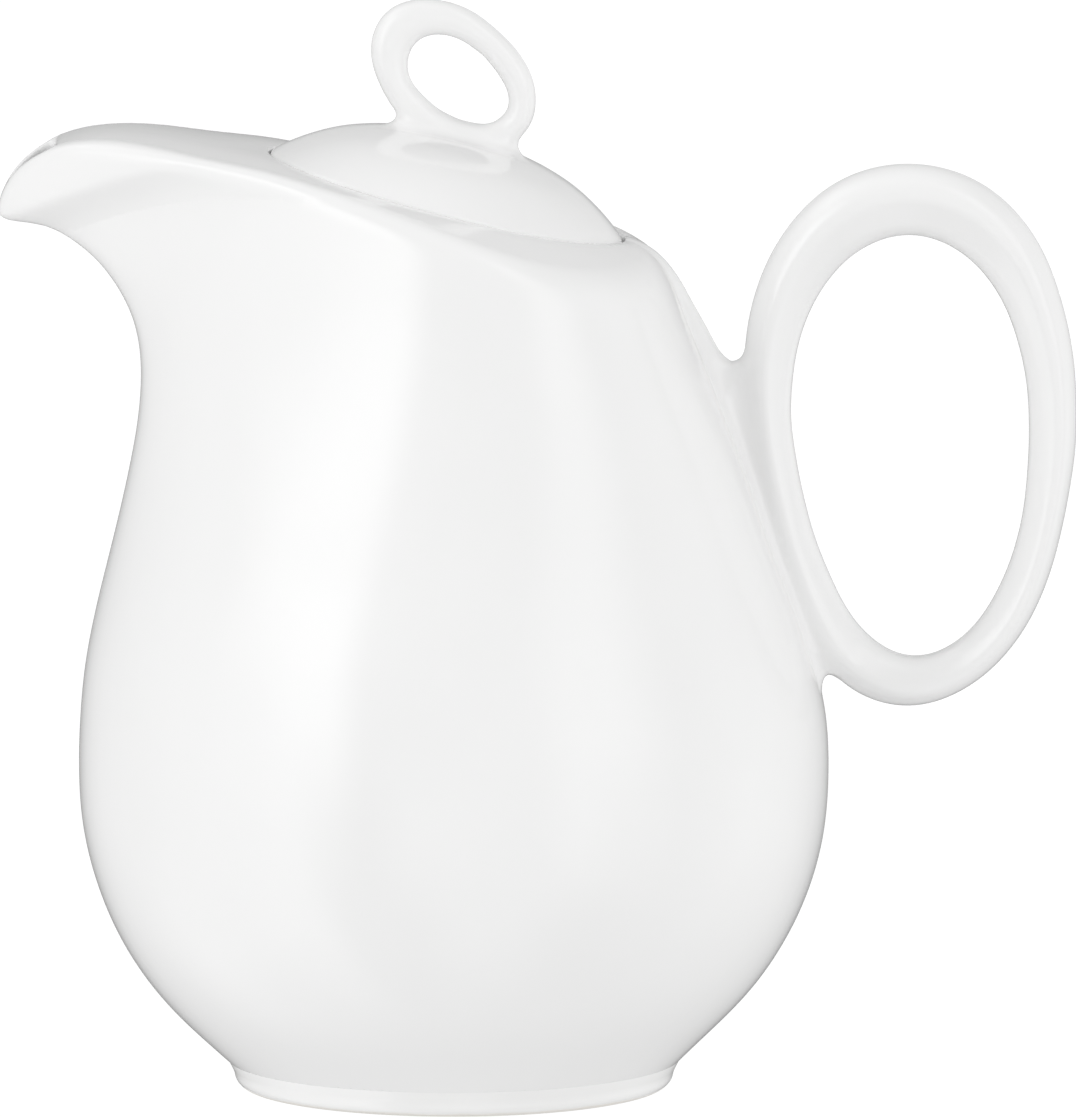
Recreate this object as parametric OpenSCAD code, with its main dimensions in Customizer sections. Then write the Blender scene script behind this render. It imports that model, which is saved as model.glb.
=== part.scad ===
// Coffee pot in glazed porcelain: pear-shaped body drawn out into a covered
// spout, an upright oval ring handle grown out of the back of the body on a
// thin root, and a round lid sloping down toward the handle with a small
// oval ring for a knob.
//
// Frame: millimetres, +Z up, origin at the centre of the foot's resting
// plane. The spout points along -X, the handle along +X, and the pot is
// symmetric about the plane Y = 0.

/* [Body] */
// Largest radius of the belly
belly_r = 65.7; // [62:0.1:68]
// Radius of the body where it meets the foot
base_r = 39.5; // [38:0.1:41]
// Height at which the body starts above the foot
base_z = 4.5; // [4:0.1:6]
// Porcelain thickness of the body wall
wall = 3.4; // [2.8:0.1:4.2]
// Porcelain thickness of the shoulder under the lid seat
deck_wall = 4.6; // [4.2:0.1:5.5]
// How far the plan shape is drawn out toward the spout at the top
beak = 0.55; // [0.4:0.01:0.6]
// Rounding of the edge between flank and shoulder
shoulder_round = 4; // [2:0.5:5]

/* [Foot] */
// Outer radius of the foot at its bottom edge
foot_r = 38.4; // [37:0.1:39]
// Inner radius of the foot ring
foot_inner_r = 33; // [30:0.1:35]

/* [Spout] */
// Lip thickness round the spout's opening
lip = 2.2; // [1.8:0.1:3]
// Where the cover over the spout stops, measured along X
cover_x = -69.65; // [-71:0.05:-66]

/* [Lid] */
// Slope of the lid and its seat, down toward the handle, in degrees
lid_tilt = 14.4; // [12:0.1:16]
// Radius of the lid
lid_r = 31.7; // [30:0.1:33]
// Height of the dome over the rim
dome_h = 10.5; // [8:0.1:12]
// Gap between the lid's edge and the seat
seat_gap = 0.5; // [0.4:0.1:1]
// Depth of the seat below the shoulder
seat_depth = 2; // [1.5:0.1:2.4]
// Outer radius of the locating flange under the lid
flange_r = 26; // [24:0.1:27]
// Wall of the locating flange
flange_wall = 2.8; // [2.2:0.1:3.5]
// How far the flange reaches below the lid's rim
flange_depth = 11; // [9:0.5:14]
// How far the holding lug stands out from the flange
lug_out = 2.4; // [1.5:0.1:3]
// Angle that the holding lug covers, in degrees
lug_angle = 24; // [16:1:30]

/* [Knob] */
// Half thickness of the knob's ring across the pot
knob_half = 3.3; // [2.6:0.1:4]

/* [Handle] */
// Half thickness of the handle's ring at its ridge
ring_half = 6.4; // [5:0.1:8]
// Half thickness at the edge of the finger opening
ring_edge = 3; // [1.5:0.1:4]
// Thickness of the root between the ring and the body
root_w = 9; // [6:0.5:11]

/* [Resolution] */
// Number of columns round the body, a multiple of 4
cols = 60; // [40:4:72]
// Number of rows up the body
rows = 29; // [24:1:36]

/* [Hidden] */

porcelain = [0.95, 0.95, 0.94];
bisque = [0.86, 0.84, 0.80];

// centre of the lid's rim, on the slope of the seat
lid_x = -1.1;
lid_z = 156.9;
lid_slope = tan(lid_tilt);

// Flank: level, reach toward the spout, reach toward the handle, half width
OUT = [
    [base_z, base_r, base_r, base_r],
    [8, 43.3, 42.8, 43.1],
    [12, 47.8, 47.2, 47.5],
    [16, 51.5, 51.1, 51.3],
    [20, 54.6, 54.4, 54.5],
    [25, 57.8, 57.6, 57.7],
    [30, 60.3, 60.3, 60.3],
    [36, 62.6, 62.7, 62.6],
    [43, 64.5, 64.6, 64.5],
    [50, 65.5, 65.5, 65.4],
    [58, belly_r, belly_r, belly_r],
    [66, 65.4, 65.2, 65.3],
    [75, 64.5, 63.1, 63.9],
    [85, 62.5, 60.0, 61.5],
    [95, 60.0, 56.0, 58.3],
    [105, 57.6, 51.5, 54.8],
    [115, 55.6, 47.4, 51.7],
    [122, 54.8, 44.5, 49.7],
    [130, 54.6, 41.2, 48.0],
    [138, 55.6, 38.4, 46.7],
    [143, 57.2, 37.2, 46.0],
    [148, 59.5, 36.6, 45.3],
    [153, 62.6, 36.4, 44.7],
    [158, 66.6, 36.2, 44.2],
    [162, 70.6, 36.2, 43.9],
    [165, 75.0, 36.2, 43.7],
    [166.5, 77.6, 36.2, 43.6],
    [168, 79.2, 36.2, 43.5],
    [170, 79.8, 36.2, 43.5],
    [173, 80.0, 36.2, 43.4],
    [185, 80.2, 36.2, 43.0]];

// Shoulder: place along X, height of the crest line above the foot
CREST = [
    [-90, 128], [-84, 143], [-81.5, 150.5], [-79.4, 156.4], [-77.4, 160.4],
    [-74, 163.9], [-70, 166.4], [-66, 167.7], [-62, 168.3], [-57, 168.4],
    [-50, 167.7], [-44, 166.6], [-38, lid_z - lid_slope * (-38 - lid_x) - 0.6],
    [-32, lid_z - lid_slope * (-32 - lid_x)],
    [-20, lid_z - lid_slope * (-20 - lid_x)],
    [20, lid_z - lid_slope * (20 - lid_x)],
    [80, lid_z - lid_slope * (80 - lid_x)]];

// Handle ring: angle, inner and outer distance from the ring's centre
ring_c = [79.8, 112.9];
RING = [
    [-15, 21.1, 29.3], [0, 20.7, 29.0], [15, 21.4, 30.1], [30, 23.3, 32.8],
    [45, 26.3, 37.0], [60, 30.8, 43.0], [75, 35.2, 48.0], [90, 37.4, 49.8],
    [105, 35.6, 48.5], [120, 31.4, 43.8], [135, 27.1, 38.3], [150, 23.6, 33.4],
    [165, 21.5, 29.6], [180, 20.2, 27.5], [195, 20.0, 27.0], [210, 20.9, 28.2],
    [225, 23.2, 31.2], [240, 27.0, 37.2], [255, 33.2, 43.9], [270, 37.5, 46.3],
    [285, 35.2, 43.6], [300, 30.0, 38.8], [315, 25.7, 34.0], [330, 22.8, 30.6],
    [345, 21.1, 29.0], [360, 20.7, 29.0], [375, 21.4, 30.1]];

// Knob ring: angle, inner and outer distance from the ring's centre
knob_c = [0.8, 177.2];
KNOB = [
    [-15, 9.0, 14.1], [0, 7.6, 13.1], [15, 6.7, 12.1], [30, 6.2, 11.4],
    [45, 6.1, 11.1], [60, 6.1, 11.3], [75, 6.5, 12.1], [90, 7.2, 13.2],
    [105, 8.1, 14.6], [120, 9.1, 16.2], [135, 9.8, 17.3], [150, 9.7, 17.0],
    [165, 9.1, 15.7], [180, 8.2, 14.0], [195, 7.1, 12.8], [210, 6.4, 12.1],
    [225, 6.1, 11.7], [240, 6.1, 11.6], [255, 6.3, 11.7], [270, 7.0, 12.3],
    [285, 7.8, 13.2], [300, 9.0, 14.2], [315, 9.8, 14.8], [330, 10.0, 14.9],
    [345, 9.0, 14.1], [360, 7.6, 13.1], [375, 6.7, 12.1]];

// smooth curve through the rows of a table
function seg(T, t, i = 0) =
    (i >= len(T) - 2 || t < T[i + 1][0]) ? i : seg(T, t, i + 1);
function tangent(T, i) =
    i == 0 ? (T[1] - T[0]) / (T[1][0] - T[0][0]) :
    i == len(T) - 1 ? (T[i] - T[i - 1]) / (T[i][0] - T[i - 1][0]) :
    (T[i + 1] - T[i - 1]) / (T[i + 1][0] - T[i - 1][0]);
function along(T, t) =
    let (i = seg(T, t), h = T[i + 1][0] - T[i][0], s = (t - T[i][0]) / h)
    T[i] * (2 * s^3 - 3 * s^2 + 1) + tangent(T, i) * h * (s^3 - 2 * s^2 + s)
    + T[i + 1] * (3 * s^2 - 2 * s^3) + tangent(T, i + 1) * h * (s^3 - s^2);

function clamp01(t) = max(0, min(1, t));
function ease(t) = let (s = clamp01(t)) s * s * (3 - 2 * s);
// the levels of the body bend down toward the tip of the spout
function droop(x, level) =
    ease((level - 110) / 40) * 4 * ln(1 + exp((-50 - x) / 8));
// plan shape: 0 is a circle, larger is drawn out toward the spout
function drawn_out(level) = beak * pow(clamp01((level - 80) / 80), 1.6);

// point of the flank in column a, a = 0 at the spout, set in by t
function flank(a, level, t) =
    let (p = along(OUT, level), xf = t - p[1], xb = p[2] - t, w = p[3] - t,
         k = drawn_out(level), c = -cos(a), x = (xf + xb + c * (xb - xf)) / 2)
    [x, -w * sin(a) * (1 - 0.45 * k * k + k * c), level - droop(x, level)];

// height of the shoulder: the lid's slope, falling away outside the seat
function shoulder(x, y) =
    let (dx = x - lid_x, d = norm([dx, y]), over = max(0, d - 32.4),
         back = dx / max(d, 1))
    along(CREST, x)[1] - (0.215 * (1 + back) + 0.06 * (1 - back * back))
    * over * over / (over + 1.5);

// level at which column a of the flank reaches the shoulder lowered by td
function edge_level(a, t, td, lo = 100, hi = 184, n = 26) =
    n == 0 ? (lo + hi) / 2 :
    let (m = (lo + hi) / 2, p = flank(a, m, t))
    p[2] < shoulder(p[0], p[1]) - under(p[0], td) ? edge_level(a, t, td, m, hi, n - 1)
                                     : edge_level(a, t, td, lo, m, n - 1);
function toward_seat(p, s, td) =
    let (x = p[0] + (lid_x - p[0]) * s, y = p[1] * (1 - s))
    [x, y, shoulder(x, y) - under(x, td)];
// share of the way to the seat's centre that is r millimetres long
function share(p, r) = r / norm([p[0] - lid_x, p[1]]);

// the edge's rounding tightens toward the tip of the spout
function round_at(x, r) =
    1.4 + (r - 1.4) * ease((x + 80) / 26) * (1 - 0.25 * ease((x - 20) / 15));
// the shoulder thins toward the spout's cover
function under(x, td) = td == 0 ? 0 : 3.2 + (td - 3.2) * ease((x + 76) / 34);

// rings of points from the base up the flank, over the edge, to the seat
function skin(t, td, z0, r0) = [
    for (i = [0 : rows + 11])
        [for (j = [0 : cols - 1])
            let (a = 360 * j / cols, e = edge_level(a, t, td),
                 q = flank(a, e, t), r = round_at(q[0], r0), top = e - r,
                 p0 = flank(a, top, t), p2 = toward_seat(q, share(q, r), td))
            i <= rows ?
                flank(a, z0 + (top - z0) * (1 - pow(1 - i / rows, 1.2)), t) :
            i <= rows + 3 ?
                let (s = (i - rows) / 4)
                p0 * (1 - s) * (1 - s) + q * 2 * s * (1 - s) + p2 * s * s :
                let (s = pow((i - rows - 4) / 8, 1.5))
                toward_seat(q, share(q, r) + (1 - share(q, r)) * s * (td == 0 ? 0.97 : 0.88),
                            td)]];

// closed solid from rings that run anticlockwise seen from above
module skin_solid(R, last) {
    n = len(R[0]);
    m = len(R);
    pts = [for (r = R) each r];
    polyhedron(
        points = concat(pts, [last, [0, 0, R[0][0][2]]]),
        faces = concat(
            [for (i = [0 : m - 2], j = [0 : n - 1]) let (k = (j + 1) % n)
                [i * n + j, (i + 1) * n + j, (i + 1) * n + k]],
            [for (i = [0 : m - 2], j = [0 : n - 1]) let (k = (j + 1) % n)
                [i * n + j, (i + 1) * n + k, i * n + k]],
            [for (j = [0 : n - 1]) let (k = (j + 1) % n)
                [(m - 1) * n + j, m * n, (m - 1) * n + k]],
            [for (j = [0 : n - 1]) let (k = (j + 1) % n)
                [j, k, m * n + 1]]),
        convexity = 6);
}

module body_outer() {
    skin_solid(skin(0, 0, base_z, shoulder_round), [lid_x, 0, lid_z]);
}
module body_inner() {
    skin_solid(skin(wall, deck_wall, base_z + wall + 0.1, 3),
               [lid_x, 0, lid_z - deck_wall]);
}
// the inside of the spout, carried on up through the shoulder
module spout_mouth() {
    intersection() {
        skin_solid([for (i = [0 : 7])
            [for (j = [0 : cols - 1])
                flank(360 * j / cols, 160 + 3.5 * i, lip)]],
            flank(90, 184.5, lip) + [0, 45, 0]);
        translate([cover_x - 40, -20, 120]) cube([40, 40, 80]);
    }
}

// places what follows on the seat: its z axis is the way the lid lifts
module on_seat() translate([lid_x, 0, lid_z]) rotate([0, lid_tilt, 0])
    children();

// oval ring in the XZ plane swept from a five-sided section
module ring_solid(T, c, half, edge, n) {
    S = [[0, -edge * 0.55], [0.1, -edge], [0.6, -half], [0.86, -half * 0.86],
         [1, -half * 0.45], [1, half * 0.45], [0.86, half * 0.86],
         [0.6, half], [0.1, edge], [0, edge * 0.55]];
    m = len(S);
    polyhedron(
        points = [for (i = [0 : n - 1], s = S)
            let (g = 360 * i / n, p = along(T, g), r = p[1] + (p[2] - p[1]) * s[0])
            [c[0] + r * cos(g), s[1], c[1] + r * sin(g)]],
        faces = concat(
            [for (i = [0 : n - 1], j = [0 : m - 1])
                let (i2 = (i + 1) % n, k = (j + 1) % m)
                [i * m + j, i2 * m + j, i2 * m + k]],
            [for (i = [0 : n - 1], j = [0 : m - 1])
                let (i2 = (i + 1) % n, k = (j + 1) % m)
                [i * m + j, i2 * m + k, i * m + k]]),
        convexity = 8);
}

// side view of the root that carries the ring on the back of the body
ROOT = [[30, 141], [34.6, 146], [37.4, 145], [39.8, 141.8], [42.5, 138],
        [44.4, 134], [46, 130.6], [48.4, 128], [51, 128.6], [53.4, 124],
        [56, 117], [57.5, 110], [58.6, 102], [60.6, 94], [63.6, 87],
        [66.8, 80.5], [69, 76], [67, 73.8], [65, 72.8], [63.8, 70.5],
        [57, 69], [50, 85], [38, 110]];

module pot_body() {
    color(porcelain)
    resize([0, 0, 0])
    difference() {
        body_outer();
        body_inner();
        spout_mouth();
        on_seat() {
            translate([0, 0, -seat_depth]) rotate([0, 0, 1.2])
                cylinder(r = lid_r + seat_gap, h = 30, $fn = 96);
            translate([0, 0, -20]) rotate([0, 0, 1.3])
                cylinder(r = flange_r + 0.6, h = 30, $fn = 90);
            // notch that lets the holding lug pass
            translate([0, 0, -20]) rotate([0, 0, -lug_angle / 2 - 3])
                rotate_extrude(angle = lug_angle + 6, $fn = 96)
                    translate([20, 0]) square([flange_r + lug_out - 19.4, 30]);
        }
    }
}

module foot_ring() {
    color(bisque)
    rotate_extrude($fn = 128)
        polygon([[foot_inner_r, base_z], [foot_inner_r, 1.6],
                 [foot_inner_r + 0.5, 0.6], [foot_inner_r + 1.5, 0],
                 [foot_r - 1.7, 0], [foot_r - 0.7, 0.35],
                 [foot_r - 0.1, 1.1], [foot_r, 1.9],
                 [base_r - 0.6, 3.4], [base_r, base_z]]);
}

module handle_ring() {
    color(porcelain)
    resize([0, 0, 0])
    difference() {
        union() {
            ring_solid(RING, ring_c, ring_half, ring_edge, 60);
            rotate([90, 0, 0]) {
                linear_extrude(height = root_w, center = true) polygon(ROOT);
                linear_extrude(height = root_w + 2.6, center = true)
                    offset(delta = -1.5) polygon(ROOT);
            }
        }
        body_outer();
    }
}

// upper face of the dome, in the lid's own coordinates: radius, height
DOME = [[0, dome_h], [5, dome_h - 0.15], [10, dome_h - 0.6],
        [15, dome_h - 1.55], [19, dome_h - 2.75], [22, dome_h - 3.95],
        [25, dome_h - 5.55], [27.5, dome_h - 7.15], [29.5, dome_h - 8.6],
        [30.8, dome_h - 9.65], [31.5, dome_h - 10.35],
        [lid_r, dome_h - 10.9], [lid_r, -seat_depth + 0.5],
        [lid_r - 0.5, -seat_depth]];

module lid_cap() {
    color(porcelain)
    on_seat() rotate_extrude($fn = 128)
        polygon(concat(DOME, [
            [flange_r - flange_wall - 0.3, -seat_depth], [20, 1.6], [16, 3.8],
            [11, 5.5], [6, 6.5], [0, 6.9]]));
}

module lid_flange() {
    color(porcelain)
    on_seat() rotate_extrude($fn = 128)
        polygon([[flange_r - flange_wall, -seat_depth],
                 [flange_r - flange_wall, 0.8 - flange_depth],
                 [flange_r - flange_wall + 0.8, -flange_depth],
                 [flange_r - 0.8, -flange_depth],
                 [flange_r, 0.8 - flange_depth], [flange_r, -seat_depth]]);
}

module lid_lug() {
    color(porcelain)
    on_seat() rotate([0, 0, -lug_angle / 2])
        rotate_extrude(angle = lug_angle, $fn = 96)
            polygon([[flange_r, -7.6], [flange_r + lug_out - 0.7, -8],
                     [flange_r + lug_out, -8.6], [flange_r + lug_out, -9.6],
                     [flange_r + lug_out - 0.7, -10.2], [flange_r, -10.5]]);
}

module lid_knob() {
    color(porcelain)
    resize([0, 0, 0])
    difference() {
        union() {
            ring_solid(KNOB, knob_c, knob_half, 1.4, 48);
            on_seat() hull() {
                translate([-0.8, 0, 8.5]) scale([11.2, 4.4, 1])
                    cylinder(r = 1, h = 1.6, $fn = 32);
                translate([-1.2, 0, 11.4]) scale([10.2, 2.9, 1])
                    cylinder(r = 1, h = 1.4, $fn = 32);
            }
        }
        on_seat() rotate_extrude($fn = 128)
            polygon(concat(DOME, [[0, -seat_depth]]));
    }
}

pot_body();
foot_ring();
handle_ring();
lid_cap();
lid_flange();
lid_lug();
lid_knob();
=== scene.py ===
import math

import bpy
import numpy as np
import openvdb
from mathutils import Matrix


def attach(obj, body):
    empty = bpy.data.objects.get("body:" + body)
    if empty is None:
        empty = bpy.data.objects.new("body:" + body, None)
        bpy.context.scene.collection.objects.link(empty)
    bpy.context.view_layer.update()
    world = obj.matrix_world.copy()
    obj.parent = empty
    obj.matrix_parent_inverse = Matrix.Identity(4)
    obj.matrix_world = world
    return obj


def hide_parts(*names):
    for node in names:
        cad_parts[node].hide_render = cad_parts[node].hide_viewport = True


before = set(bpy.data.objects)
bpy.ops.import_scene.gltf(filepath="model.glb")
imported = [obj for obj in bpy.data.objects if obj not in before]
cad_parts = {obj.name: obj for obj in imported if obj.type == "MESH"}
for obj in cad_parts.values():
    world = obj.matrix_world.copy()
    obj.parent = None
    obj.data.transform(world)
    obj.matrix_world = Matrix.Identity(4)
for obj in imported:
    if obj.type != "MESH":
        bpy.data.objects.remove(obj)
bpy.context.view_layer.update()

# ------------------------------------------------------------------ tables, millimetres
BASE_Z = 4.5
WALL, DECK_WALL, LIP = 3.4, 4.6, 2.8
COVER_X = -69.65
LID_X, LID_Z, TILT = -1.1, 156.9, math.radians(14.4)
SLOPE, CT, ST = math.tan(TILT), math.cos(TILT), math.sin(TILT)
LID_R, SEAT_R, BORE_R = 31.75, 32.0, 26.6
BEAK = 0.55

OUT = np.array([
    [0, 34.6, 34.8, 34.7], [4.5, 39.5, 39.5, 39.5], [8, 43.3, 42.8, 43.1], [12, 47.8, 47.2, 47.5],
    [16, 51.5, 51.1, 51.3], [20, 54.6, 54.4, 54.5], [25, 57.8, 57.6, 57.7],
    [30, 60.3, 60.3, 60.3], [36, 62.6, 62.7, 62.6], [43, 64.5, 64.6, 64.5],
    [50, 65.5, 65.5, 65.4], [58, 65.7, 65.7, 65.7], [66, 65.4, 65.2, 65.3],
    [75, 64.5, 63.1, 63.9], [85, 62.5, 60.0, 61.5], [95, 60.0, 56.0, 58.3],
    [105, 57.6, 52.7, 54.8], [115, 55.6, 49.0, 51.7], [122, 54.8, 46.3, 49.7],
    [130, 54.6, 43.0, 48.0], [138, 55.6, 39.8, 46.7], [143, 57.2, 38.0, 46.0],
    [148, 59.5, 36.6, 45.3], [153, 62.6, 36.4, 44.7], [158, 66.6, 36.2, 44.2],
    [162, 70.6, 36.2, 43.9], [165, 75.0, 36.2, 43.7], [166.5, 77.6, 36.2, 43.6],
    [168, 79.2, 36.2, 43.5], [170, 79.8, 36.2, 43.5], [173, 80.0, 36.2, 43.4],
    [185, 80.2, 36.2, 43.0], [205, 80.2, 36.2, 43.0]], float)


def plane_at(x):
    return LID_Z - SLOPE * (x - LID_X)


CREST = np.array([
    [-90, 128], [-84, 143], [-81.5, 150.5], [-79.4, 156.4], [-77.4, 160.4], [-74, 163.9],
    [-70, 166.4], [-66, 167.7], [-62, 168.3], [-57, 168.4], [-50, 167.7], [-44, 166.6],
    [-38, plane_at(-38) - 0.6], [-32, plane_at(-32)], [-20, plane_at(-20)], [0, plane_at(0)],
    [16, plane_at(16)], [23, plane_at(23) + 0.25], [29, plane_at(29) + 0.55],
    [35, plane_at(35) + 0.5], [42, plane_at(42)], [50, plane_at(50)], [80, plane_at(80)], [120, plane_at(120)]], float)

RING_C = (79.8, 112.9)
RING = np.array([
    [0, 20.7, 29.0], [15, 21.4, 30.1], [30, 23.3, 32.8], [45, 26.3, 37.0], [60, 30.8, 43.0],
    [75, 35.2, 48.0], [90, 37.4, 49.8], [105, 35.6, 48.5], [120, 31.4, 43.8],
    [135, 27.1, 38.3], [150, 23.6, 33.4], [165, 21.5, 29.6], [180, 20.2, 27.5],
    [195, 20.0, 27.0], [210, 20.9, 28.2], [225, 23.2, 31.2], [240, 27.0, 37.2],
    [255, 33.2, 43.9], [270, 37.5, 46.3], [285, 35.2, 43.6], [300, 30.0, 38.8],
    [315, 25.7, 34.0], [330, 22.8, 30.6], [345, 21.1, 29.0], [360, 20.7, 29.0]], float)

KNOB_C = (0.8, 177.2)
KNOB = np.array([
    [0, 7.6, 13.1], [15, 6.7, 12.1], [30, 6.2, 11.4], [45, 6.1, 11.1], [60, 6.1, 11.3],
    [75, 6.5, 12.1], [90, 7.2, 13.2], [105, 8.1, 14.6], [120, 9.1, 16.2], [135, 9.8, 17.3],
    [150, 9.7, 17.0], [165, 9.1, 15.7], [180, 8.2, 14.0], [195, 7.1, 12.8],
    [210, 6.4, 12.1], [225, 6.1, 11.7], [240, 6.1, 11.6], [255, 6.3, 11.7],
    [270, 7.0, 12.3], [285, 7.8, 13.2], [300, 9.0, 14.2], [315, 9.8, 14.8],
    [330, 10.0, 14.9], [345, 9.0, 14.1], [360, 7.6, 13.1]], float)

# outline of the root in side view: the back slope down to the saddle, then inside the ring
BACK = np.array([
    [0, 24, 149.6], [4, 28.5, 149.0], [8, 31.9, 148.4], [12, 35.0, 147.0], [15, 37.2, 145.3],
    [18, 38.9, 143.3], [21, 40.4, 141.2], [24, 41.7, 138.8], [27, 42.9, 136.8],
    [30, 44.3, 134.3], [33, 45.6, 131.8], [35.5, 46.8, 129.6], [38, 48.6, 128.0]], float)
ROOT_INSIDE = [[51.5, 127.4], [53.4, 124], [56, 117], [57.5, 110], [58.6, 102], [60.6, 94], [63.6, 87],
               [66.8, 80.5], [68.6, 76.4], [67, 74.2], [65.2, 73.2], [63.8, 71], [57, 69], [50, 85],
               [38, 110], [20, 140]]

DOME_H = 10.5
DOME = np.array([
    [0, 10.5], [5, 10.35], [10, 9.9], [15, 8.95], [19, 7.75], [22, 6.55], [25, 4.95],
    [27.5, 3.35], [29.5, 1.9], [30.8, 0.85], [31.5, 0.15], [33.0, -1.6], [45, -16]], float)
DOME_UNDER = np.array([[0, 6.9], [6, 6.5], [11, 5.5], [16, 3.8], [20, 1.6], [22.9, -2], [60, -2]], float)


def hermite(T, n, loop=False):
    """Dense samples of a smooth curve through a table's rows, the table's first column as x."""
    x = T[:, 0]
    m = np.zeros_like(T)
    m[1:-1] = (T[2:] - T[:-2]) / (x[2:] - x[:-2])[:, None]
    if loop:
        m[0] = m[-1] = (T[1] - T[-2]) / (x[1] - x[0] + x[-1] - x[-2])
    else:
        m[0] = (T[1] - T[0]) / (x[1] - x[0])
        m[-1] = (T[-1] - T[-2]) / (x[-1] - x[-2])
    t = np.linspace(x[0], x[-1], n)
    i = np.clip(np.searchsorted(x, t, side="right") - 1, 0, len(x) - 2)
    h = (x[i + 1] - x[i])[:, None]
    s = ((t - x[i]) / h[:, 0])[:, None]
    return t, (T[i] * (2 * s**3 - 3 * s**2 + 1) + m[i] * h * (s**3 - 2 * s**2 + s)
               + T[i + 1] * (3 * s**2 - 2 * s**3) + m[i + 1] * h * (s**3 - s**2))[:, 1:]


def smoothed(t, v, sigma, loop=False):
    """Gaussian smoothing of evenly spaced samples; sigma may vary along them."""
    step = t[1] - t[0]
    sigma = np.broadcast_to(sigma, t.shape)
    out = np.empty_like(v)
    n = len(t)
    for level in np.unique(np.round(sigma, 2)):
        r = int(math.ceil(3.5 * max(level, 1e-6) / step))
        w = np.exp(-0.5 * (np.arange(-r, r + 1) * step / max(level, 1e-6)) ** 2)
        w /= w.sum()
        pick = np.round(sigma, 2) == level
        for c in range(v.shape[1]):
            if loop:
                p = np.concatenate([v[-1 - r:-1, c], v[:, c], v[1:r + 1, c]])
            else:
                a = v[0, c] + (v[1, c] - v[0, c]) * np.arange(-r, 0)
                b = v[-1, c] + (v[-1, c] - v[-2, c]) * np.arange(1, r + 1)
                p = np.concatenate([a, v[:, c], b])
            out[pick, c] = np.convolve(p, w, "valid")[pick]
    return out


def smoothstep(t):
    s = np.clip(t, 0.0, 1.0)
    return s * s * (3 - 2 * s)


LV, OV = hermite(OUT, 821)
OV = smoothed(LV, OV, np.round(3.2 - 2.4 * smoothstep((LV - 140) / 14), 1))
CX, CV = hermite(CREST, 841)
CV = smoothed(CX, CV, np.round(1.0 + 2.0 * smoothstep((CX + 66) / 20), 1))
RA, RV = hermite(RING, 721, True)
RV = smoothed(RA, RV, 5.0, True)
KA, KV = hermite(KNOB, 721, True)
KV = smoothed(KA, KV, 5.0, True)
BT, BV = hermite(BACK, 191)
BV = smoothed(BT, BV, 1.2)
ROOT = np.concatenate([BV[::5], np.array(ROOT_INSIDE, float)])
DR, DV = hermite(DOME, 451)
DV = smoothed(np.concatenate([-DR[:0:-1], DR]), np.concatenate([DV[:0:-1], DV]), 0.8)[len(DR) - 1:]
UR, UV = hermite(DOME_UNDER, 301)


# ------------------------------------------------------------------ shape functions
def smax(a, b, k):
    h = np.maximum(k - np.abs(a - b), 0.0)
    return np.maximum(a, b) + h * h / (4 * k)


def smin(a, b, k):
    return -smax(-a, -b, k)


def scaled(fun, x, y, z, grid, e=0.03):
    """A level function divided by the length of its gradient, so it is close to a distance."""
    g = fun(x, y, z)
    if grid is not None:
        gx, gy, gz = np.gradient(g, grid)
    else:
        gx = (fun(x + e, y, z) - g) / e
        gy = (fun(x, y + e, z) - g) / e
        gz = (fun(x, y, z + e) - g) / e
    return g / np.sqrt(gx * gx + gy * gy + gz * gz + 1e-6)


def level_of(x, z):
    """The body's level through a point: levels bend down toward the tip of the spout."""
    lev = np.array(z, float, copy=True)
    on = (x < -8) & (z > 92)
    if not on.any():
        return lev
    xs, zs = x[on], z[on]
    s4 = 4 * np.log1p(np.exp((-50 - xs) / 8))
    v = zs + smoothstep((zs - 110) / 40) * s4
    for i in range(9):
        t = np.clip((v - 110) / 40, 0, 1)
        d = t * t * (3 - 2 * t) * s4
        v = v - (v - zs - d) / np.maximum(1 - 6 * t * (1 - t) / 40 * s4, 0.3)
    lev[on] = v
    return lev


def flank_level(x, y, z, inset):
    lev = level_of(x, z)
    t = inset(lev) if callable(inset) else inset
    xf = t - np.interp(lev, LV, OV[:, 0])
    xb = np.interp(lev, LV, OV[:, 1]) - t
    w = np.interp(lev, LV, OV[:, 2]) - t
    k = BEAK * np.clip((lev - 80) / 80, 0, 1) ** 1.6
    c = (2 * x - xf - xb) / (xb - xf)
    s = np.maximum(1 - 0.45 * k * k + k * c, 0.05)
    return y * y - w * w * (1 - c * c) * s * s


def flank(x, y, z, inset, grid):
    return scaled(lambda a, b, c: flank_level(a, b, c, inset), x, y, z, grid)


def deck_height(x, y):
    dx = x - LID_X
    d = np.sqrt(dx * dx + y * y)
    over = np.maximum(0, d - 32.4)
    back = dx / np.maximum(d, 1)
    return np.interp(x, CX, CV[:, 0]) - (0.215 * (1 + back) + 0.06 * (1 - back * back)) * over * over / (over + 1.5)


def under(x):
    return 3.2 + (DECK_WALL - 3.2) * smoothstep((x + 76) / 34)


def lip_inset(lev):
    return WALL + (LIP - WALL) * smoothstep((lev - 148) / 12)


def edge_round(x):
    return 1.4 + 2.6 * smoothstep((x + 80) / 26) * (1 - 0.25 * smoothstep((x - 20) / 15))


def on_seat(x, z):
    dx, dz = x - LID_X, z - LID_Z
    return dx * CT - dz * ST, dx * ST + dz * CT


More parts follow.
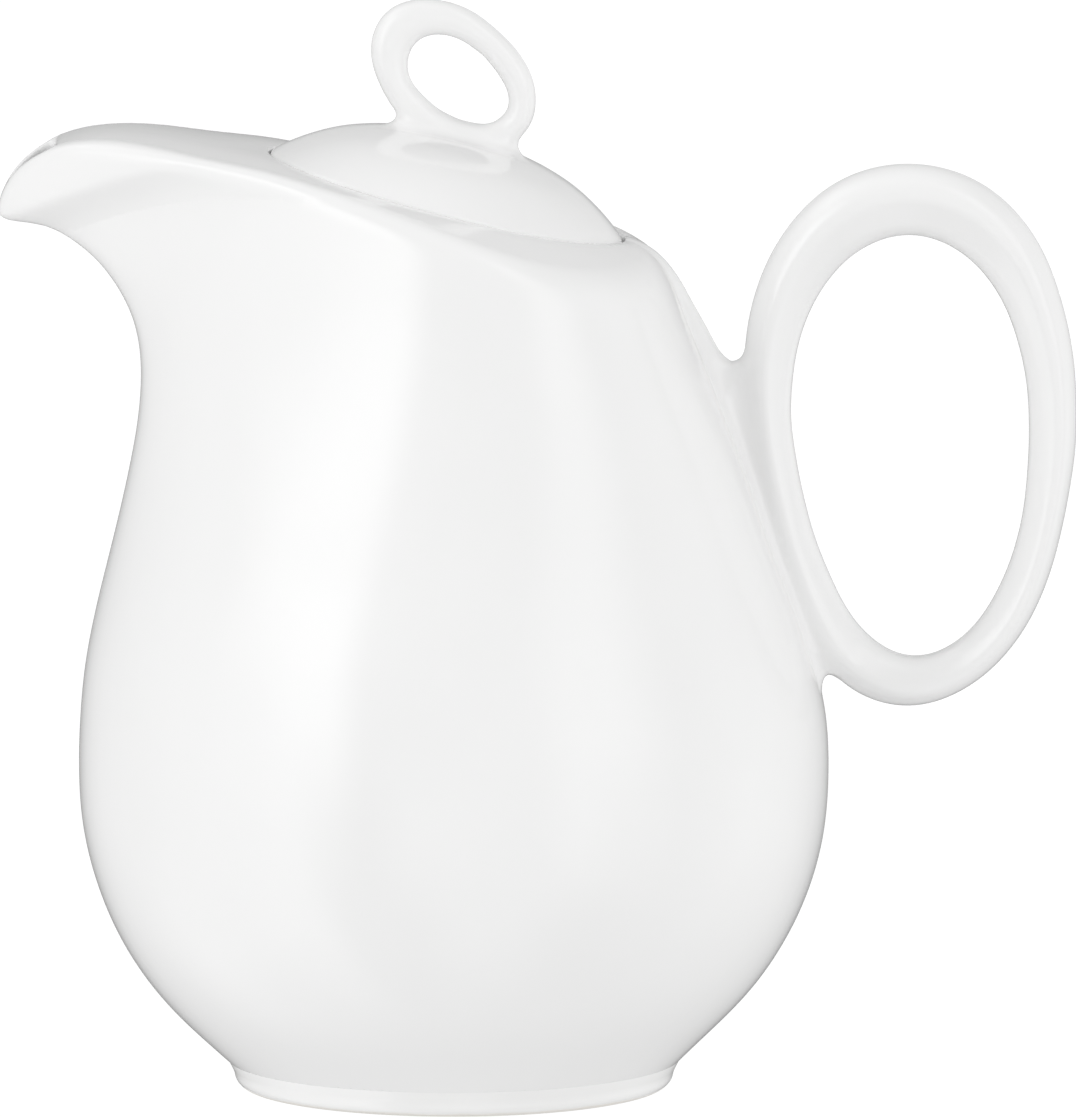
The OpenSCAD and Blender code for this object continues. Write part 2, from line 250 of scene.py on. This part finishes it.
def band(x, z, c, A, V):
    """Distance from a ring's centre line data: across (0 inner edge, 1 outer edge) and width."""
    dx, dz = x - c[0], z - c[1]
    r = np.sqrt(dx * dx + dz * dz)
    a = np.degrees(np.arctan2(dz, dx)) % 360.0
    ri, ro = np.interp(a, A, V[:, 0]), np.interp(a, A, V[:, 1])
    e = 1.0
    di = (np.interp((a + e) % 360, A, V[:, 0]) - np.interp((a - e) % 360, A, V[:, 0])) / np.radians(2 * e)
    do = (np.interp((a + e) % 360, A, V[:, 1]) - np.interp((a - e) % 360, A, V[:, 1])) / np.radians(2 * e)
    rr = np.maximum(r, 3.0)
    inner = (ri - r) / np.sqrt(1 + (di / rr) ** 2)
    outer = (r - ro) / np.sqrt(1 + (do / rr) ** 2)
    return inner, outer


def ring_shape(x, y, z, c, A, V, half, edge, ridge, tail, k):
    """A ring whose section is thickest at a ridge and narrows to both of its edges."""
    inner, outer = band(x, z, c, A, V)
    width = np.maximum(-(inner + outer), 1.0)
    s = np.clip(-inner / width, -0.3, 1.3)
    ay = np.abs(y)
    si = (half - edge) / (ridge * width)
    so = (half - tail) / ((1 - ridge) * width)
    fi = (ay - edge - si * s * width) / np.sqrt(1 + si * si)
    fo = (ay - tail - so * (1 - s) * width) / np.sqrt(1 + so * so)
    f = smax(fi, fo, 2.2)
    f = smax(f, inner, k)
    return smax(f, outer, k)


def polygon(x, z, P):
    """Signed distance to a polygon in the XZ plane."""
    d = np.full(x.shape, 1e9)
    inside = np.zeros(x.shape, bool)
    for a, b in zip(P, np.roll(P, -1, 0)):
        ex, ez = b - a
        t = np.clip(((x - a[0]) * ex + (z - a[1]) * ez) / (ex * ex + ez * ez), 0, 1)
        d = np.minimum(d, (x - a[0] - t * ex) ** 2 + (z - a[1] - t * ez) ** 2)
        if a[1] != b[1]:
            cross = (a[1] > z) != (b[1] > z)
            inside ^= cross & (x < (b[0] - a[0]) * (z - a[1]) / (b[1] - a[1]) + a[0])
    d = np.sqrt(d)
    return np.where(inside, -d, d)


def handle(x, y, z):
    f = np.full(x.shape, 30.0)
    on = (x > 24) & (np.abs(y) < 18) & (z > 50) & (z < 172)
    if not on.any():
        return f
    xs, ys, zs = x[on], y[on], z[on]
    ring = ring_shape(xs, ys, zs, RING_C, RA, RV, 6.5, 3.2, 0.66, 2.6, 2.6)
    root = polygon(xs, zs, ROOT)
    # the root is a wedge: a rounded crest, thicker where it meets the body
    ay = np.abs(ys)
    wide = 1.9 + 0.28 * np.clip(-root, 0, 8) + 0.1 * np.clip(-root - 8, 0, 20)
    wide = wide + 2.4 * smoothstep((116 - zs) / 24)
    fin = smax(root + 0.3, (ay - wide) / 1.03, 2.4)
    f[on] = smin(ring, fin, 3.5)
    return f


def pot(x, y, z, grid=None):
    """The body with its spout, seat, root and ring handle in one glazed piece."""
    deck = deck_height(x, y)
    e = 0.05
    gx = (deck_height(x + e, y) - deck) / e
    gy = (deck_height(x, y + e) - deck) / e
    n = np.sqrt(1 + gx * gx + gy * gy)
    top = (z - deck) / n
    f = smax(flank(x, y, z, 0.0, grid), top, edge_round(x))
    f = smin(f, handle(x, y, z), 2.2)
    f = smax(f, BASE_Z - z, 0.15)
    # inside
    cave = smax(flank(x, y, z, WALL, grid), top + under(x), 3.0)
    cave = smax(cave, 8.0 - z, 9.0)
    mouth = smax(flank(x, y, z, lip_inset, grid), x - COVER_X, 3.0)
    mouth = np.maximum(mouth, 138 - z)
    u, w = on_seat(x, z)
    rho = np.sqrt(u * u + y * y)
    bore = smax(rho - BORE_R, -16 - w, 1.0)
    notch = smax(rho - 29.0, np.abs(y) * math.cos(math.radians(15)) - u * math.sin(math.radians(15)), 0.8)
    notch = np.maximum(notch, -16 - w)
    rebate = smax(rho - SEAT_R, -2.05 - w, 0.5)
    cave = smin(cave, mouth, 1.5)
    cave = smin(cave, smin(bore, notch, 0.6), 1.0)
    f = smax(f, -cave, 1.0)
    return smax(f, -rebate, 0.4)


def lid(x, y, z, grid=None):
    u, w = on_seat(x, z)
    rho = np.sqrt(u * u + y * y + 1e-9)
    t = np.interp(rho, DR, DV[:, 0])
    ts = (np.interp(rho + 0.2, DR, DV[:, 0]) - t) / 0.2
    b = np.interp(rho, UR, UV[:, 0])
    bs = (np.interp(rho + 0.2, UR, UV[:, 0]) - b) / 0.2
    dome = (w - t) / np.sqrt(1 + ts * ts)
    cap = smax(smax(dome, rho - LID_R, 0.6), (b - w) / np.sqrt(1 + bs * bs), 0.6)
    flange = smax(smax(rho - 26.0, 23.2 - rho, 0.6), -11.0 - w, 1.4)
    flange = np.maximum(flange, w - 1.0)
    flange = np.maximum(flange, dome + 1.0)
    lug = smax(rho - 28.4, np.abs(y) * math.cos(math.radians(12)) - u * math.sin(math.radians(12)), 0.8)
    lug = smax(lug, np.abs(w + 9.05) - 1.45, 0.9)
    lug = np.maximum(lug, 24.0 - rho)
    f = smin(smin(cap, flange, 0.8), lug, 0.7)
    k = ring_shape(x, y, z, KNOB_C, KA, KV, 3.35, 1.6, 0.62, 1.5, 1.8)
    # pedestal that flares into the dome
    a = 11.0 - 0.35 * np.clip(w - 9.0, 0, 5)
    c = 4.3 - 0.45 * np.clip(w - 9.0, 0, 5)
    q = np.sqrt(((u + 0.9) / a) ** 2 + (y / c) ** 2 + 1e-9)
    ped = (q - 1) * q / np.sqrt(((u + 0.9) / (a * a)) ** 2 + (y / (c * c)) ** 2 + 1e-9)
    ped = smax(ped, w - 12.4, 1.5)
    ped = np.maximum(ped, 7.5 - w)
    k = smin(k, ped, 2.2)
    k = np.maximum(k, dome - 60)
    k = np.maximum(k, -(dome + 1.5))
    return smin(f, k, 3.0)


# ------------------------------------------------------------------ meshes
def slope(fun, p, e):
    x, y, z = p
    return np.stack([fun(x + e, y, z) - fun(x - e, y, z), fun(x, y + e, z) - fun(x, y - e, z),
                     fun(x, y, z + e) - fun(x, y, z - e)]) / (2 * e)


def onto(fun, p, steps, most):
    """Moves points along the slope until the function is zero there."""
    p = p.copy()
    start = p.copy()
    for i in range(steps):
        f = fun(*p)
        g = slope(fun, p, 0.05)
        step = f / np.maximum((g * g).sum(0), 0.05)
        p -= g * np.clip(step, -0.6, 0.6)
        move = p - start
        far = np.sqrt((move * move).sum(0))
        p = start + move * np.minimum(1, most / np.maximum(far, 1e-9))
    return p


def contour(fun, lo, hi, h, adaptivity):
    """Quads and triangles of the zero surface of a function that is even in y."""
    nx, ny, nz = (int(math.ceil((hi[0] - lo[0]) / h)) + 1, int(math.ceil(hi[1] / h)) + 1,
                  int(math.ceil((hi[2] - lo[2]) / h)) + 1)
    X, Y, Z = np.meshgrid(lo[0] + h * np.arange(nx), h * np.arange(ny), lo[2] + h * np.arange(nz), indexing="ij")
    F = np.clip(fun(X, Y, Z, h), -3 * h, 3 * h)
    F = np.concatenate([F[:, :0:-1], F], 1).astype(np.float32)
    for a in range(3):
        F = np.moveaxis(F, a, 0)
        F[0] = F[-1] = 3 * h
        F = np.moveaxis(F, 0, a)
    g = openvdb.FloatGrid(3 * h)
    g.copyFromArray(np.ascontiguousarray(F))
    pts, tris, quads = g.convertToPolygons(0.0, adaptivity)
    pts = np.asarray(pts, float) * h + [lo[0], -(ny - 1) * h, lo[2]]
    return pts, np.asarray(tris, int).reshape(-1, 3), np.asarray(quads, int).reshape(-1, 4)


def signed_volume(pts, tris):
    a, b, c = pts[tris[:, 0]], pts[tris[:, 1]], pts[tris[:, 2]]
    return (a * np.cross(b, c)).sum() / 6


def refine(mesh, fun, turn, shortest, region=None):
    """Cuts the longer edges across which the surface turns, so small roundings keep their form."""
    import bmesh
    bm = bmesh.new()
    bm.from_mesh(mesh)
    bm.verts.ensure_lookup_table()
    co = np.array([v.co for v in bm.verts]).T * 1000
    n = slope(fun, co, 0.12)
    n /= np.maximum(np.sqrt((n * n).sum(0)), 1e-9)
    ed = np.array([(e.verts[0].index, e.verts[1].index) for e in bm.edges])
    ln = np.sqrt(((co[:, ed[:, 0]] - co[:, ed[:, 1]]) ** 2).sum(0))
    dot = (n[:, ed[:, 0]] * n[:, ed[:, 1]]).sum(0)
    pick = (dot < math.cos(math.radians(turn))) & (ln > shortest)
    if region is not None:
        pick &= region(*((co[:, ed[:, 0]] + co[:, ed[:, 1]]) / 2))
    bm.edges.ensure_lookup_table()
    bmesh.ops.subdivide_edges(bm, edges=[bm.edges[i] for i in np.nonzero(pick)[0]], cuts=1, use_grid_fill=True)
    bmesh.ops.triangulate(bm, faces=[f for f in bm.faces if len(f.verts) > 4])
    bm.to_mesh(mesh)
    bm.free()
    return int(pick.sum())


def settle(mesh, fun, most):
    co = np.empty(len(mesh.vertices) * 3)
    mesh.vertices.foreach_get("co", co)
    p = onto(fun, co.reshape(-1, 3).T * 1000, 3, most)
    mesh.vertices.foreach_set("co", (p.T / 1000).ravel())
    mesh.update()


def build(name, fun, lo, hi, h, adaptivity, turn, shortest, rounds, thin=None, region=None):
    import bmesh
    pts, tris, quads = contour(fun, lo, hi, h, adaptivity)
    both = np.concatenate([tris, quads[:, [0, 1, 2]], quads[:, [0, 2, 3]]])
    if signed_volume(pts, both) < 0:
        tris, quads = tris[:, ::-1], quads[:, ::-1]
    pts = onto(fun, pts.T, 4, 1.2 * h).T
    mesh = bpy.data.meshes.new(name)
    mesh.from_pydata((pts / 1000).tolist(), [], tris.tolist() + quads.tolist())
    mesh.validate()
    for i in range(rounds):
        refine(mesh, fun, turn, shortest, region)
        settle(mesh, fun, 0.6 * h)
    bm = bmesh.new()
    bm.from_mesh(mesh)
    bmesh.ops.triangulate(bm, faces=bm.faces)
    bmesh.ops.remove_doubles(bm, verts=bm.verts, dist=0.00003)
    bmesh.ops.dissolve_degenerate(bm, edges=bm.edges, dist=0.00002)
    bmesh.ops.triangulate(bm, faces=[f for f in bm.faces if len(f.verts) > 3])
    loose = [v for v in bm.verts if not v.link_faces]
    bmesh.ops.delete(bm, geom=loose, context="VERTS")
    bm.to_mesh(mesh)
    bm.free()
    ob = bpy.data.objects.new(name, mesh)
    bpy.context.scene.collection.objects.link(ob)
    if thin is not None:
        co = np.empty(len(mesh.vertices) * 3)
        mesh.vertices.foreach_get("co", co)
        hidden = thin(*(co.reshape(-1, 3).T * 1000))
        group = ob.vertex_groups.new(name="inside")
        group.add(np.nonzero(hidden)[0].tolist(), 1.0, "REPLACE")
        share = hidden.mean()
        dec = ob.modifiers.new("inside", "DECIMATE")
        dec.vertex_group = "inside"
        dec.ratio = float(1 - 0.86 * share)
        dg = bpy.context.evaluated_depsgraph_get()
        lean = bpy.data.meshes.new_from_object(ob.evaluated_get(dg))
        ob.modifiers.clear()
        ob.data = lean
        ob.vertex_groups.clear()
        mesh = lean
        settle(mesh, fun, 0.4)
    co = np.empty(len(mesh.vertices) * 3)
    mesh.vertices.foreach_get("co", co)
    n = slope(fun, co.reshape(-1, 3).T * 1000, 0.1)
    n /= np.maximum(np.sqrt((n * n).sum(0)), 1e-9)
    mesh.shade_smooth()
    mesh.normals_split_custom_set_from_vertices([tuple(v) for v in n.T])
    mesh.name = name
    print(name, len(mesh.vertices), "vertices", len(mesh.loop_triangles) or sum(len(p.vertices) - 2 for p in mesh.polygons), "triangles")
    return ob


def in_cave(x, y, z):
    """True where a point lies on the hidden inner side of the body."""
    return (flank(x, y, z, 0.0, None) < -1.7) & (z > 6) & (z < deck_height(x, y) - 2.5) & (x > -66)


pot_ob = build("pot_glazed", pot, (-89, 0, 1), (113, 69, 172), 1.1, 0.0, 14, 0.55, 2, thin=in_cave,
               region=lambda x, y, z: ~((flank(x, y, z, 0.0, None) < -1.7) & (z < 140)))
lid_ob = build("lid_glazed", lid, (-37, 0, 132), (37, 36, 196), 0.62, 0.0, 16, 0.4, 1)


def revolve(name, profile, n=256):
    """A ring turned about the Z axis from a closed profile in millimetres."""
    m = len(profile)
    a = 2 * math.pi * np.arange(n) / n
    P = np.array(profile, float)
    v = np.stack([np.outer(np.cos(a), P[:, 0]), np.outer(np.sin(a), P[:, 0]), np.tile(P[:, 1], (n, 1))], -1)
    faces = [(i * m + j, ((i + 1) % n) * m + j, ((i + 1) % n) * m + (j + 1) % m, i * m + (j + 1) % m)
             for i in range(n) for j in range(m)]
    mesh = bpy.data.meshes.new(name)
    mesh.from_pydata((v.reshape(-1, 3) / 1000).tolist(), [], faces)
    mesh.shade_smooth()
    ob = bpy.data.objects.new(name, mesh)
    bpy.context.scene.collection.objects.link(ob)
    return ob


def rounded(P, r, n=6):
    """A closed profile with its corners rounded; P is rows of (r, z), r a radius for each."""
    P = np.array(P, float)
    out = []
    for i in range(len(P)):
        a, b, c = P[i - 1], P[i], P[(i + 1) % len(P)]
        u, v = (a - b), (c - b)
        lu, lv = np.hypot(*u), np.hypot(*v)
        d = min(r[i], 0.48 * lu, 0.48 * lv)
        p0, p2 = b + u / lu * d, b + v / lv * d
        for s in np.linspace(0, 1, n):
            out.append(p0 * (1 - s) ** 2 + b * 2 * s * (1 - s) + p2 * s * s)
    return out


foot_ob = revolve("foot_ring_turned", rounded(
    [[33.0, 5.4], [33.0, 1.2], [33.9, 0.0], [37.2, 0.0], [38.35, 1.3], [38.6, 2.6], [39.75, 4.9], [39.3, 5.4]],
    [0.05, 1.5, 0.9, 1.0, 1.1, 2.0, 0.2, 0.05]))
mesh = foot_ob.data
co = [v.co for v in mesh.vertices]
if sum((co[p.vertices[0]]).dot(p.normal) * p.area for p in mesh.polygons) < 0:
    mesh.flip_normals()


# ------------------------------------------------------------------ materials
def nodes_of(name):
    m = bpy.data.materials.new(name)
    m.use_nodes = True
    t = m.node_tree
    for n in list(t.nodes):
        t.nodes.remove(n)
    out = t.nodes.new("ShaderNodeOutputMaterial")
    b = t.nodes.new("ShaderNodeBsdfPrincipled")
    t.links.new(b.outputs[0], out.inputs[0])
    return m, t, b


def noise(t, where, scale, detail=3.0, rough=0.5):
    n = t.nodes.new("ShaderNodeTexNoise")
    n.inputs["Scale"].default_value = scale
    n.inputs["Detail"].default_value = detail
    n.inputs["Roughness"].default_value = rough
    t.links.new(where, n.inputs["Vector"])
    return n.outputs["Fac"]


def spread(t, value, lo, hi, smooth=False, src=(0.0, 1.0)):
    n = t.nodes.new("ShaderNodeMapRange")
    if smooth:
        n.interpolation_type = "SMOOTHSTEP"
    n.inputs["From Min"].default_value = src[0]
    n.inputs["From Max"].default_value = src[1]
    n.inputs["To Min"].default_value = lo
    n.inputs["To Max"].default_value = hi
    t.links.new(value, n.inputs["Value"])
    return n.outputs["Result"]


def blend(t, fac, a, b):
    n = t.nodes.new("ShaderNodeMix")
    n.data_type = "RGBA"
    n.inputs["A"].default_value = (*a, 1)
    n.inputs["B"].default_value = (*b, 1)
    t.links.new(fac, n.inputs["Factor"])
    return n.outputs["Result"]


def glaze(name, tone=(0.927, 0.927, 0.925), tone2=(0.935, 0.935, 0.933)):
    """Clear glaze over white porcelain: faint clouding of tone, tiny waves and pin marks."""
    m, t, b = nodes_of(name)
    pos = t.nodes.new("ShaderNodeTexCoord").outputs["Object"]
    cloud = noise(t, pos, 45.0, 4.0)
    t.links.new(blend(t, spread(t, cloud, 0, 1, True, (0.3, 0.7)), tone, tone2), b.inputs["Base Color"])
    fine = noise(t, pos, 420.0, 2.0)
    t.links.new(spread(t, fine, 0.06, 0.11), b.inputs["Roughness"])
    wave = noise(t, pos, 60.0, 2.0)
    bump1 = t.nodes.new("ShaderNodeBump")
    bump1.inputs["Strength"].default_value = 0.35
    bump1.inputs["Distance"].default_value = 0.00006
    t.links.new(wave, bump1.inputs["Height"])
    peel = noise(t, pos, 900.0, 2.0, 0.6)
    bump2 = t.nodes.new("ShaderNodeBump")
    bump2.inputs["Strength"].default_value = 0.25
    bump2.inputs["Distance"].default_value = 0.000006
    t.links.new(peel, bump2.inputs["Height"])
    t.links.new(bump1.outputs["Normal"], bump2.inputs["Normal"])
    t.links.new(bump2.outputs["Normal"], b.inputs["Normal"])
    b.inputs["IOR"].default_value = 1.52
    b.inputs["Specular IOR Level"].default_value = 0.5
    return m


def bisque(name):
    """The foot: glazed wall, with the ground bottom left bare, matt and a little warmer."""
    m, t, b = nodes_of(name)
    pos = t.nodes.new("ShaderNodeTexCoord").outputs["Object"]
    sep = t.nodes.new("ShaderNodeSeparateXYZ")
    t.links.new(pos, sep.inputs[0])
    wob = noise(t, pos, 160.0, 3.0)
    add = t.nodes.new("ShaderNodeMath")
    add.operation = "MULTIPLY_ADD"
    add.inputs[1].default_value = 0.0006
    t.links.new(wob, add.inputs[0])
    t.links.new(sep.outputs["Z"], add.inputs[2])
    bare = spread(t, add.outputs[0], 1.0, 0.0, True, (0.00075, 0.00115))
    grain = noise(t, pos, 1600.0, 4.0, 0.7)
    clay = blend(t, grain, (0.78, 0.755, 0.71), (0.86, 0.84, 0.80))
    mix = t.nodes.new("ShaderNodeMix")
    mix.data_type = "RGBA"
    mix.inputs["A"].default_value = (0.925, 0.925, 0.92, 1)
    t.links.new(clay, mix.inputs["B"])
    t.links.new(bare, mix.inputs["Factor"])
    t.links.new(mix.outputs["Result"], b.inputs["Base Color"])
    t.links.new(spread(t, bare, 0.11, 0.75), b.inputs["Roughness"])
    bump = t.nodes.new("ShaderNodeBump")
    bump.inputs["Strength"].default_value = 0.5
    bump.inputs["Distance"].default_value = 0.00002
    gated = t.nodes.new("ShaderNodeMath")
    gated.operation = "MULTIPLY"
    t.links.new(grain, gated.inputs[0])
    t.links.new(bare, gated.inputs[1])
    t.links.new(gated.outputs[0], bump.inputs["Height"])
    t.links.new(bump.outputs["Normal"], b.inputs["Normal"])
    b.inputs["IOR"].default_value = 1.52
    return m


glaze_mat = glaze("porcelain_glaze")
foot_mat = bisque("foot_porcelain")
pot_ob.data.materials.clear()
pot_ob.data.materials.append(glaze_mat)
lid_ob.data.materials.clear()
lid_ob.data.materials.append(glaze_mat)
foot_ob.data.materials.append(foot_mat)

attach(pot_ob, "pot")
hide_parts("pot_body", "handle_ring")
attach(lid_ob, "lid")
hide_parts("lid_cap", "lid_flange", "lid_lug", "lid_knob")
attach(foot_ob, "pot")
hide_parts("foot_ring")

# ------------------------------------------------------------------ floor, light, camera
bpy.ops.mesh.primitive_plane_add(size=24, location=(0, 0, -0.0002))
floor = bpy.context.object
floor.name = "floor"
m, t, b = nodes_of("pale_floor")
b.inputs["Base Color"].default_value = (0.10, 0.10, 0.10, 1)
b.inputs["Roughness"].default_value = 1.0
b.inputs["Specular IOR Level"].default_value = 0.0
b.inputs["Emission Color"].default_value = (1, 1, 1, 1)
b.inputs["Emission Strength"].default_value = 0.97
floor.data.materials.append(m)
floor.visible_diffuse = False
floor.visible_glossy = False

world = bpy.data.worlds.new("studio")
bpy.context.scene.world = world
world.use_nodes = True
wt = world.node_tree
for n in list(wt.nodes):
    wt.nodes.remove(n)
wout = wt.nodes.new("ShaderNodeOutputWorld")
wbg = wt.nodes.new("ShaderNodeBackground")
wt.links.new(wbg.outputs[0], wout.inputs[0])
wdir = wt.nodes.new("ShaderNodeTexCoord").outputs["Generated"]
wsep = wt.nodes.new("ShaderNodeSeparateXYZ")
wt.links.new(wdir, wsep.inputs[0])


def math_node(op, a, b=None, c=None):
    n = wt.nodes.new("ShaderNodeMath")
    n.operation = op
    for i, v in enumerate((a, b, c)):
        if v is None:
            continue
        if isinstance(v, (int, float)):
            n.inputs[i].default_value = v
        else:
            wt.links.new(v, n.inputs[i])
    return n.outputs[0]


# The soft room light: strengths by direction. Azimuth 0 is the camera's side, + toward the
# handle; each row is one elevation, and strengths blend linearly between rows and columns.
AZIM = [-180, -140, -110, -85, -65, -50, -38, -27, -12, 5, 25, 40, 55, 75, 100, 140, 180]
ELEV = [-80, -40, -12, 10, 30, 50, 80]
LIGHT = [
    [0.65, 0.65, 0.65, 0.65, 0.65, 0.65, 0.65, 0.65, 0.65, 0.65, 0.65, 0.65, 0.65, 0.65, 0.65, 0.65],
    [0.57, 0.57, 1.21, 1.21, 1.52, 1.52, 0.44, 0.44, 0.44, 0.95, 0.95, 0.59, 0.59, 0.83, 0.83, 0.57],
    [0.12, 0.63, 0.55, 0.96, 1.24, 1.44, 0.72, 0.12, 0.91, 0.92, 0.92, 1.73, 1.37, 0.96, 1.32, 0.65],
    [0.56, 0.46, 0.55, 0.75, 1.34, 2.24, 2.48, 0.47, 0.48, 0.63, 0.92, 1.95, 1.89, 0.77, 1.02, 0.91],
    [0.3, 0.23, 0.81, 0.76, 2.1, 2.64, 2.51, 0.72, 0.51, 0.54, 0.64, 1.26, 1.49, 0.85, 0.88, 0.6],
    [0.49, 0.49, 1.75, 1.75, 0.64, 0.64, 0.47, 0.47, 0.47, 0.5, 0.5, 1.47, 1.47, 0.35, 0.35, 0.49],
    [0.94, 0.94, 0.94, 0.94, 0.94, 0.94, 0.94, 0.94, 0.94, 0.94, 0.94, 0.94, 0.94, 0.94, 0.94, 0.94],
]
back = math_node("MULTIPLY", wsep.outputs["Y"], -1.0)
azim = math_node("MULTIPLY_ADD", math_node("ARCTAN2", wsep.outputs["X"], back), 0.5 / math.pi, 0.5)
elev = math_node("MULTIPLY", math_node("ARCSINE", wsep.outputs["Z"]), 180 / math.pi)
TOP = 10.0


def ramp(v, a, b):
    return spread(wt, v, 0.0, 1.0, False, (a, b))


total = None
for r, row in enumerate(LIGHT):
    row = row + row[:1]
    curve = wt.nodes.new("ShaderNodeFloatCurve")
    points = curve.mapping.curves[0].points
    for k, (a, v) in enumerate(zip(AZIM, row)):
        if k < 2:
            q = points[k]
            q.location = ((a + 180) / 360, v / TOP)
        else:
            q = points.new((a + 180) / 360, v / TOP)
        q.handle_type = "VECTOR"
    curve.mapping.update()
    wt.links.new(azim, curve.inputs["Value"])
    part = curve.outputs[0]
    if r > 0:
        part = math_node("MULTIPLY", part, ramp(elev, ELEV[r - 1], ELEV[r]))
    if r < len(LIGHT) - 1:
        part = math_node("MULTIPLY", part, math_node("SUBTRACT", 1.0, ramp(elev, ELEV[r], ELEV[r + 1])))
    total = part if total is None else math_node("ADD", total, part)
total = math_node("MULTIPLY", total, TOP)
wt.links.new(total, wbg.inputs["Strength"])
wbg.inputs["Color"].default_value = (1, 1, 1, 1)

cam = bpy.data.cameras.new("camera")
cam_ob = bpy.data.objects.new("camera", cam)
bpy.context.scene.collection.objects.link(cam_ob)
cam.sensor_fit = "HORIZONTAL"
cam.sensor_width = 36
cam.lens = 36 * 3300 / 188.3
cam.clip_start = 0.1
cam.clip_end = 100
cam_ob.location = (0.01475, -3.27177, 0.52374)
cam_ob.rotation_euler = (math.radians(82.5), 0, 0)
bpy.context.scene.camera = cam_ob
bpy.context.scene.view_settings.view_transform = "Standard"
bpy.context.scene.view_settings.look = "None"
